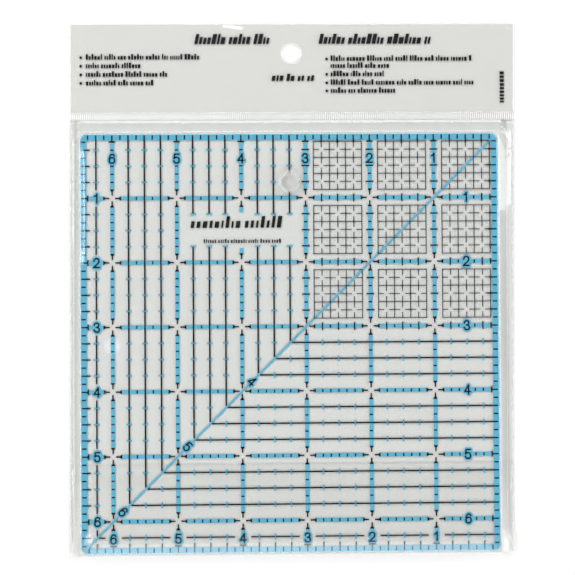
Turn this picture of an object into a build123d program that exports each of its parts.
from build123d import *
import math
import os

# Square quilting ruler in a clear header bag. Millimetres, +Z up.
# The bag lies flat on its back: +Y runs from the mouth to the hanging header, +X to the right.
# The origin is the middle of the whole object's footprint, on the surface that it lies on.

# ---------------------------------------------------------------- driving dimensions
INCH = 25.4

# ruler plate
SIDE = 6.5 * INCH            # 6 1/2 in square
PLATE_T = 3.0                # cast acrylic sheet
CORNER_R = 3.0               # plan corner radius
EDGE_BEVEL = 0.25            # broken edge all round
HOLE_D = 0.25 * INCH         # hang hole
HOLE_CHAMFER = 1.1           # chamfer on the upper side of the hang hole
HOLE_FROM_RIGHT = 3.25 * INCH
HOLE_FROM_TOP = 0.75 * INCH
PLATE_X = -0.5               # middle of the plate, from the middle of the bag
PLATE_TOP_Y = 61.8           # the plate's top edge

# printed layers on the underside
INK_T = 0.03
BAND_W = 0.10 * INCH         # blue edge band
BAR_W = 0.060 * INCH         # blue inch bars
BAR_END = 0.125 * INCH       # an inch bar stops this far from each crossing
QUARTER_V_W = 0.55           # black quarter-inch lines that run up the plate
QUARTER_H_W = 0.40           # and those that run across it
TICK_W = 0.40                # edge ticks
GRID_W = 0.25                # eighth-inch grid lines
DIAG_W = 0.50                # 45 degree line

# bag
BAG_W = 175.0
BAG_TOP = 105.5
FILM_T = 0.08                # pouch film
HEADER_T = 0.10              # header ply
WELD_W = 1.0                 # side welds
SEAL_LOW, SEAL_HIGH = 67.1, 70.2   # ribbed heat seal between header and pouch
SEAL_BASE_T, SEAL_RIB_H, RIB_PITCH = 0.16, 0.10, 0.8
HANG_HOLE = (0.7, 93.7)
HANG_HOLE_R = 3.9
VENT = (-70.35, -21.7)
VENT_R = 2.9
BAG_BOTTOM = -105.5          # outermost line of the fold at the mouth
FLAP_END = -68.2             # free edge of the folded-back flap
GLUE_LOW, GLUE_HIGH = -77.0, -72.6
GLUE_T = 0.05

# heights in the stack, from the surface up
Z_FLAP = 0.0
Z_BACK = 0.15
Z_PLATE = 0.40
Z_TOP_IN = 3.50              # inner face of the front film over the plate
SHOULDER_X = 83.3            # the front film is flat over the plate as far as here
SHOULDER_Y = 63.0

# ---------------------------------------------------------------- derived
Z_TOP_OUT = Z_TOP_IN + FILM_T
FOLD_R = Z_TOP_OUT / 2
FOLD_Y = BAG_BOTTOM + FOLD_R          # the fold's axis, which the flap turns about
POUCH_X = BAG_W / 2 - WELD_W          # inner edge of the side welds
RIGHT = PLATE_X + SIDE / 2
LEFT = PLATE_X - SIDE / 2
BOTTOM = PLATE_TOP_Y - SIDE
Z_BLACK = Z_PLATE - INK_T            # the black is printed first, next to the plate
Z_BLUE = Z_BLACK - INK_T


def px(inches):
    """x of a point this many inches in from the plate's right edge, where the scale starts."""
    return RIGHT - inches * INCH


def py(inches):
    """y of a point this many inches down from the plate's top edge."""
    return PLATE_TOP_Y - inches * INCH


def slab(x0, x1, y0, y1, z0, z1):
    """A box from its lowest to its highest corner."""
    return Pos((x0 + x1) / 2, (y0 + y1) / 2, (z0 + z1) / 2) * Box(
        abs(x1 - x0), abs(y1 - y0), abs(z1 - z0)
    )


def drum(x, y, r, z0, z1):
    return Pos(x, y, (z0 + z1) / 2) * Cylinder(r, z1 - z0)


def prism_x(points, x0, x1):
    """A closed y-z outline, extruded from x0 to x1."""
    face = make_face(Polyline(*[(x0, y, z) for y, z in points], close=True))
    return extrude(face, amount=x1 - x0, dir=(1, 0, 0))


def prism_y(points, y0, y1):
    """A closed x-z outline, extruded from y0 to y1."""
    face = make_face(Polyline(*[(x, y0, z) for x, z in points], close=True))
    return extrude(face, amount=y1 - y0, dir=(0, 1, 0))


def prism_z(points, z0, z1):
    """A closed x-y outline, extruded from z0 to z1."""
    face = make_face(Polyline(*[(x, y, z0) for x, y in points], close=True))
    return extrude(face, amount=z1 - z0, dir=(0, 0, 1))


nodes = {}

# ---------------------------------------------------------------- ruler plate
outline = Pos(PLATE_X, PLATE_TOP_Y - SIDE / 2) * RectangleRounded(SIDE, SIDE, CORNER_R)
plate = extrude(Pos(0, 0, Z_PLATE) * outline, amount=PLATE_T)
plate = chamfer(
    plate.faces().sort_by(Axis.Z)[-1].edges() + plate.faces().sort_by(Axis.Z)[0].edges(),
    EDGE_BEVEL,
)
hx, hy = RIGHT - HOLE_FROM_RIGHT, PLATE_TOP_Y - HOLE_FROM_TOP
plate -= drum(hx, hy, HOLE_D / 2, Z_PLATE - 1, Z_PLATE + PLATE_T + 1)
z_cone = Z_PLATE + PLATE_T - HOLE_CHAMFER
plate -= Pos(hx, hy, z_cone + HOLE_CHAMFER / 2) * Cone(
    HOLE_D / 2, HOLE_D / 2 + HOLE_CHAMFER, HOLE_CHAMFER
)
nodes["ruler_plate"] = plate

# ---------------------------------------------------------------- blue print
z0, z1 = Z_BLUE, Z_BLACK
inset = EDGE_BEVEL
band = extrude(
    Pos(PLATE_X, PLATE_TOP_Y - SIDE / 2, z0)
    * (
        RectangleRounded(SIDE - 2 * inset, SIDE - 2 * inset, CORNER_R - inset)
        - Rectangle(SIDE - 2 * BAND_W, SIDE - 2 * BAND_W)
    ),
    amount=INK_T,
)
blue = [band]
for n in range(1, 7):
    for k in range(7):
        a = k * INCH + BAR_END
        b = min((k + 1) * INCH - BAR_END, SIDE - BAND_W - 0.6)
        if b <= a:
            continue
        half = BAR_W / 2
        ux, vy = px(n), py(n)
        # the inch bar down the plate at u = n, and the one across it at v = n
        window = n == 4 and k == 1
        if not window:
            blue.append(slab(ux - half, ux + half, PLATE_TOP_Y - b, PLATE_TOP_Y - a, z0, z1))
        blue.append(slab(RIGHT - b, RIGHT - a, vy - half, vy + half, z0, z1))

# the 45 degree line, broken where an inch bar's crossing stands open around it
d = DIAG_W / math.sqrt(2)
spans = [(0.13 + k, 0.93 + k) for k in range(6)]
for a, b in spans:
    x_a, y_a, x_b, y_b = px(a), py(a), px(b), py(b)
    blue.append(
        prism_z(
            [(x_a - d / 2, y_a + d / 2), (x_b - d / 2, y_b + d / 2), (x_b + d / 2, y_b - d / 2), (x_a + d / 2, y_a - d / 2)],
            z0,
            z1,
        )
    )
nodes["blue_ink_layer"] = blue

# ---------------------------------------------------------------- black print
z0, z1 = Z_BLACK, Z_PLATE
black = []
# quarter-inch lines: each runs down the plate, turns on the 45 degree line and runs back to the right edge
for n in (3.25, 3.5, 3.75, 4.25, 4.5, 4.75, 5.25, 5.5, 5.75):
    gaps = []
    if n == 3.25:
        gaps = [(HOLE_FROM_TOP / INCH - 0.17, HOLE_FROM_TOP / INCH + 0.17), (1.25, 1.75)]
    elif n < 4.8:
        gaps = [(1.25, 1.75)]
    at = 0.0 + BAND_W / INCH * 0.1
    x = px(n)
    for g0, g1 in gaps + [(n, n)]:
        end = g0 if g0 < n else n - 0.0
        if g0 >= n:
            # last run carries the corner and the leg to the right edge
            w, h = QUARTER_V_W / 2, QUARTER_H_W / 2
            y_top, y_n = py(at), py(n)
            black.append(
                prism_z(
                    [
                        (x - w, y_top),
                        (x - w, y_n - h),
                        (px(0.02), y_n - h),
                        (px(0.02), y_n + h),
                        (x + w, y_n + h),
                        (x + w, y_top),
                    ],
                    z0,
                    z1,
                )
            )
        else:
            black.append(slab(x - QUARTER_V_W / 2, x + QUARTER_V_W / 2, py(end), py(at), z0, z1))
            at = g1
# the outermost quarter lines, broken at the numerals
for k in range(7):
    a = k + 0.14 if k else 0.02
    b = min(k + 0.86, 6.38)
    if b > a:
        c = px(6.25)
        black.append(slab(c - QUARTER_V_W / 2, c + QUARTER_V_W / 2, py(b), py(a), z0, z1))
        if k < 6:
            black.append(slab(px(b), px(a), py(6.25) - QUARTER_H_W / 2, py(6.25) + QUARTER_H_W / 2, z0, z1))

# eighth-inch grids in the nine cells nearest the zero corner
def grid_cell(i, j):
    g = GRID_W / 2
    lo, hi, step = 0.125, 0.875, 0.125
    x_hi, x_lo = px(i + lo) + g, px(i + hi) - g
    y_hi, y_lo = py(j + lo) + g, py(j + hi) - g
    cell = slab(x_lo, x_hi, y_lo, y_hi, z0, z1)
    s = step * INCH
    holes = [
        slab(px(i + lo + a * step) - s + g, px(i + lo + a * step) - g, py(j + lo + b * step) - s + g, py(j + lo + b * step) - g, z0 - 1, z1 + 1)
        for a in range(6)
        for b in range(6)
    ]
    return cell - holes


for i in range(3):
    for j in range(3):
        black.append(grid_cell(i, j))

# scale ticks every eighth of an inch round the four edges
t = TICK_W / 2
for k in range(1, 52):
    q = k / 8
    whole, quarter = k % 8 == 0, k % 2 == 0
    reach = 0.12 if whole else 0.145 if quarter else 0.09
    if not (quarter and not whole and q > 3):   # the quarter lines already start at the top and right edges
        top_reach = 0.09 if (q < 3 and not quarter) else reach
        if q < 3:
            top_reach = min(top_reach, 0.115)   # clear of the fine grids
        black.append(slab(px(q) - t, px(q) + t, py(top_reach), py(0.02), z0, z1))
        black.append(slab(px(top_reach), px(0.02), py(q) - t, py(q) + t, z0, z1))
    if abs(q - 6.25) > 0.01:
        low_reach = min(reach, 0.10) if q > 6.3 else reach
        black.append(slab(px(q) - t, px(q) + t, py(6.48), py(6.5 - low_reach), z0, z1))
        black.append(slab(px(6.48), px(6.5 - low_reach), py(q) - t, py(q) + t, z0, z1))
nodes["black_ink_layer"] = black

# ---------------------------------------------------------------- header of the bag
half = BAG_W / 2


def header_ply(z):
    ply = slab(-half, half, SEAL_HIGH, BAG_TOP, z, z + HEADER_T)
    return ply - drum(*HANG_HOLE, HANG_HOLE_R, z - 1, z + 1)


nodes["header_back_film"] = header_ply(Z_BACK)
nodes["header_front_film"] = header_ply(Z_BACK + HEADER_T)

# printed copy on the header, as plain bars: two headings and short rows under them
z0 = Z_BACK + 2 * HEADER_T
z1 = z0 + INK_T
rows = [
    # x0, x1, y0, y1
    (-38.3, -7.6, 97.3, 100.2),
    (11.0, 55.8, 97.3, 100.2),
    (-81.5, -36.0, 89.7, 91.6),
    (-81.5, -59.5, 86.3, 88.2),
    (-81.5, -48.6, 83.0, 84.9),
    (-81.5, -54.2, 79.6, 81.5),
    (-7.6, 10.2, 82.0, 85.2),
    (15.4, 73.2, 89.5, 91.4),
    (15.4, 40.0, 86.6, 88.5),
    (15.4, 37.2, 83.3, 85.2),
    (15.4, 74.0, 79.9, 81.8),
    (15.4, 41.6, 76.5, 78.4),
]
print_solids = [slab(a, b, c, e, z0, z1) for a, b, c, e in rows]
print_solids += [drum(-83.5, y, 0.45, z0, z1) for y in (90.6, 87.2, 83.9, 80.5)]
print_solids += [drum(13.6, y, 0.45, z0, z1) for y in (90.4, 84.2, 80.8, 77.4)]
nodes["header_print_ink"] = print_solids

# ribbed heat seal: a fused band with fine ribs that run up and down the bag
count = int(BAG_W / RIB_PITCH)
z0 = Z_BACK
zb, zr = z0 + SEAL_BASE_T, z0 + SEAL_BASE_T + SEAL_RIB_H
pts = [(-half, z0), (half, z0), (half, zb)]
start = half - (BAG_W - count * RIB_PITCH) / 2
for k in range(count):
    x = start - k * RIB_PITCH
    pts += [(x - 0.15 * RIB_PITCH, zb), (x - 0.35 * RIB_PITCH, zr), (x - 0.65 * RIB_PITCH, zr), (x - 0.85 * RIB_PITCH, zb)]
pts.append((-half, zb))
nodes["heat_seal"] = prism_y(pts, SEAL_LOW, SEAL_HIGH)

# ---------------------------------------------------------------- pouch
back = slab(-POUCH_X, POUCH_X, FOLD_Y, SEAL_LOW, Z_BACK, Z_BACK + FILM_T)
nodes["pouch_back_film"] = back - drum(*VENT, VENT_R, Z_BACK - 1, Z_BACK + 1)


def tent(z_low, z_high, skirt):
    """The solid under the front film: flat over the plate, sloping to the welds and to the seal, cut square at the mouth."""
    x, y = POUCH_X, SEAL_LOW
    sx, sy = SHOULDER_X, SHOULDER_Y
    low = [Vector(-x, FOLD_Y, z_low), Vector(x, FOLD_Y, z_low), Vector(x, y, z_low), Vector(-x, y, z_low)]
    high = [Vector(-sx, FOLD_Y, z_high), Vector(sx, FOLD_Y, z_high), Vector(sx, sy, z_high), Vector(-sx, sy, z_high)]

    def quad(*p):
        return Face(Wire.make_polygon(list(p), close=True))

    # each sloping side is cut in two triangles where its corners might not lie in one plane
    def tri(a, b, c):
        return Face(Wire.make_polygon([a, b, c], close=True))

    faces = [quad(*low), quad(*high)]
    for k in range(4):
        a, b, c, e = low[k], low[(k + 1) % 4], high[(k + 1) % 4], high[k]
        faces += [tri(a, b, c), tri(a, c, e)]
    body = Solid(Shell(faces))
    if skirt:
        body = body + slab(-x, x, FOLD_Y, y, z_low - FILM_T, z_low)
    return body


z_low_in = Z_BACK + FILM_T
outer = tent(z_low_in + FILM_T, Z_TOP_OUT, True)
inner = tent(z_low_in, Z_TOP_IN, False)
front = outer - inner
# the film's lower rim lies on the back film only at the seal and the welds
front -= drum(*VENT, VENT_R, Z_TOP_IN - 0.5, Z_TOP_OUT + 0.5)
nodes["pouch_front_film"] = front


def weld(x0, x1):
    z = Z_BACK
    b = 0.06
    return prism_y(
        [(x0, z), (x1 - b, z), (x1, z + b), (x1, z + 0.20 - b), (x1 - b, z + 0.20), (x0, z + 0.20)]
        if x1 > 0
        else [(x0 + b, z), (x1, z), (x1, z + 0.20), (x0 + b, z + 0.20), (x0, z + 0.20 - b), (x0, z + b)],
        FOLD_Y,
        SEAL_LOW,
    )


nodes["right_side_weld"] = weld(POUCH_X, half)
nodes["left_side_weld"] = weld(-half, -POUCH_X)

# ---------------------------------------------------------------- closing flap
# the fold that wraps the mouth, as flat facets round its axis
steps = 10
zc = FOLD_R


def arc(r):
    return [
        (FOLD_Y - r * math.sin(math.pi * k / steps), zc + r * math.cos(math.pi * k / steps))
        for k in range(steps + 1)
    ]


nodes["flap_fold_film"] = prism_x(arc(FOLD_R) + arc(FOLD_R - FILM_T)[::-1], -SHOULDER_X, SHOULDER_X)
nodes["flap_film"] = slab(-half, half, FOLD_Y, FLAP_END, Z_FLAP, Z_FLAP + FILM_T)
nodes["adhesive_strip"] = slab(-half + 1.5, half - 1.5, GLUE_LOW, GLUE_HIGH, FILM_T, FILM_T + GLUE_T)

# ---------------------------------------------------------------- write
os.makedirs("parts", exist_ok=True)
for name, made in nodes.items():
    if isinstance(made, list):
        solids = []
        for m in made:
            solids += list(m.solids())
        made = Compound(children=solids)
    elif len(made.solids()) == 1:
        made = made.solids()[0]
    made.label = name
    export_step(made, f"parts/{name}.step")
    b = made.bounding_box()
    print(f"{name:18s} solids {len(made.solids()):4d} volume {made.volume:10.2f}  z {b.min.Z:.2f}..{b.max.Z:.2f}")
